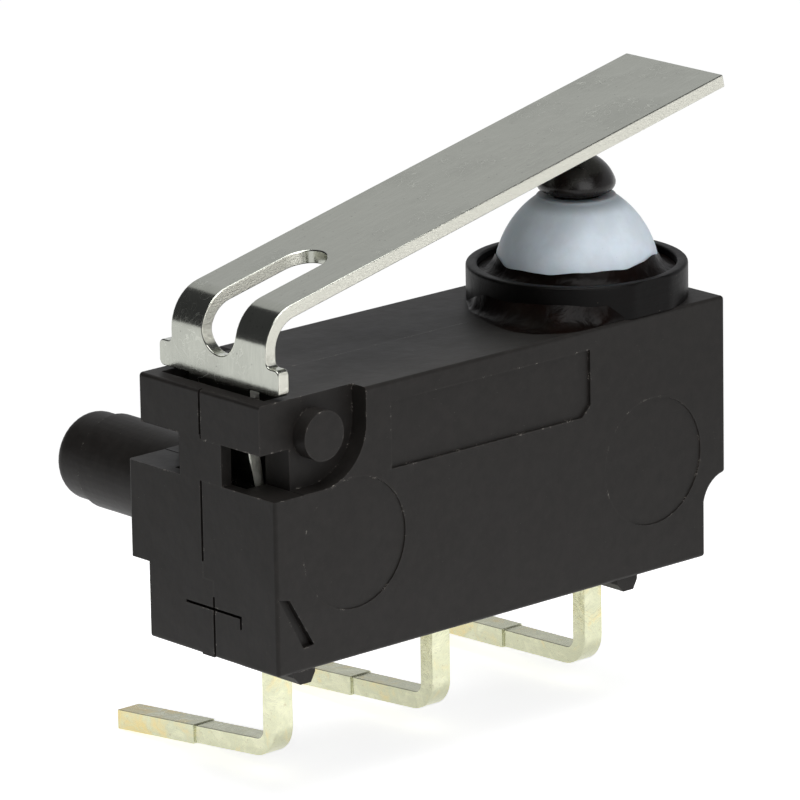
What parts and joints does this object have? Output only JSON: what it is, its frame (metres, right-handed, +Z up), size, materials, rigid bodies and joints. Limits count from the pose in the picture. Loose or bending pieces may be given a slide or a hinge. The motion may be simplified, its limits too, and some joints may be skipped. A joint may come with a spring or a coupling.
{
  "type": "micro switch",
  "caption": "Sealed subminiature snap switch: a flat leaf lever over a booted pin plunger, side board pegs and side-bent terminals.",
  "frame": {"origin": "on the face that meets the board, midway between the axes of the two board pegs", "axes": "+X along the case from the lever's hinge end to the plunger end, +Y out of the board face along the pegs and the bent terminals, +Z up from the terminal side to the plunger side"},
  "size_m": [0.0156, 0.0099, 0.0153],
  "materials": {
    "case_plastic": "fine moulded matte",
    "collar_plastic": "satin",
    "plunger_plastic": "satin",
    "lever_metal": "rolled and brushed",
    "boot_rubber": "smooth silicone",
    "resin": "glossy cured resin",
    "terminal_metal": "plated, slightly uneven",
    "spring_metal": "bright drawn wire",
    "blade_metal": "rolled copper alloy",
    "contact_metal": "polished silver alloy"
  },
  "bodies": {
    "case": {"rear_case": "case_plastic", "front_cover": "case_plastic", "boot_collar": "collar_plastic", "boot_resin": "resin", "collar_resin_bead": "resin", "sealing_boot": "boot_rubber", "common_terminal": "terminal_metal", "normally_closed_terminal": "terminal_metal", "normally_open_terminal": "terminal_metal", "normally_closed_contact": "contact_metal", "normally_open_contact": "contact_metal", "pivot_cradle": "blade_metal", "base_resin": "resin", "return_spring": "spring_metal"},
    "plunger_body": {"plunger": "plunger_plastic"},
    "rocker": {"contact_blade": "blade_metal", "moving_closed_contact": "contact_metal", "moving_open_contact": "contact_metal", "snap_spring": "spring_metal"},
    "lever_body": {"lever": "lever_metal"}
  },
  "joints": [
    {"name": "lever_hinge", "type": "hinge", "parent": "case", "child": "lever_body", "pos_m": [-0.00651, -0.00265, 0.0035], "axis": [0, 1, 0], "range_deg": [0, 5.75], "stiffness_Nm_per_rad": 0.02, "springref_deg": -1.72},
    {"name": "plunger_slide", "type": "slide", "parent": "case", "child": "plunger_body", "axis": [0, 0, -1], "range_m": [0, 0.0007], "deforming": ["sealing_boot", "return_spring"]},
    {"name": "rocker_hinge", "type": "hinge", "parent": "case", "child": "rocker", "pos_m": [0, -0.00265, 0.00024], "axis": [0, 1, 0], "range_deg": [0, 8.3]}
  ],
  "couplings": [
    {"joint": "plunger_slide", "follows": "lever_hinge", "m_per_rad": 0.0069751},
    {"joint": "rocker_hinge", "follows": "lever_hinge", "ratio": 1.4435}
  ]
}
